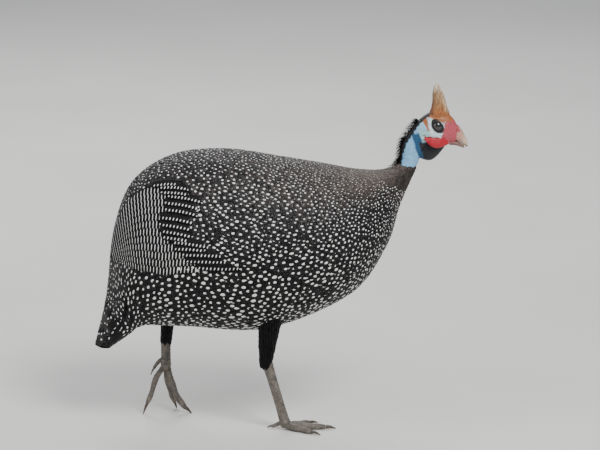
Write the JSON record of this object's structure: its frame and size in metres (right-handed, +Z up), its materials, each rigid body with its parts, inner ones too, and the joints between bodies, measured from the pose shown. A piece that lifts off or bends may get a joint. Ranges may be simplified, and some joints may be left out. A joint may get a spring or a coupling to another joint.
{
  "type": "guinea fowl",
  "caption": "Life-size still model of a helmeted guinea fowl, walking, with a horn casque, bare blue neck and spotted plumage.",
  "frame": {"origin": "on the floor under the middle of the bird's bounding box", "axes": "+X towards the bill, +Y the bird's left side, +Z up"},
  "size_m": [0.4335, 0.1741, 0.403],
  "materials": {
    "plumage": "matt black-grey feathers with white spots",
    "neck_skin": "bare pale blue skin, black at the throat",
    "face_skin": "bare red and pale blue skin",
    "casque_horn": "rough ochre horn",
    "bill_horn": "satin pale horn, red at the base",
    "leg_scales": "dark grey-brown scutes",
    "claw_horn": "dark satin horn",
    "eye": "wet dark brown eye"
  },
  "bodies": {
    "root": {"torso": "plumage", "tail": "plumage", "wing_left": "plumage", "wing_right": "plumage", "thigh_left": "plumage", "thigh_right": "plumage", "neck_lower": "plumage", "neck_upper": "neck_skin", "throat_fold": "neck_skin", "head": "face_skin", "wattle_left": "face_skin", "wattle_right": "face_skin", "casque": "casque_horn", "bill_upper": "bill_horn", "bill_lower": "bill_horn", "tarsus_left": "leg_scales", "tarsus_right": "leg_scales", "foot_left": "leg_scales", "foot_right": "leg_scales", "eye_left": "eye", "eye_right": "eye", "claw_left_inner": "claw_horn", "claw_left_middle": "claw_horn", "claw_left_outer": "claw_horn", "claw_left_hind": "claw_horn", "claw_right_inner": "claw_horn", "claw_right_middle": "claw_horn", "claw_right_outer": "claw_horn", "claw_right_hind": "claw_horn"}
  },
  "joints": []
}
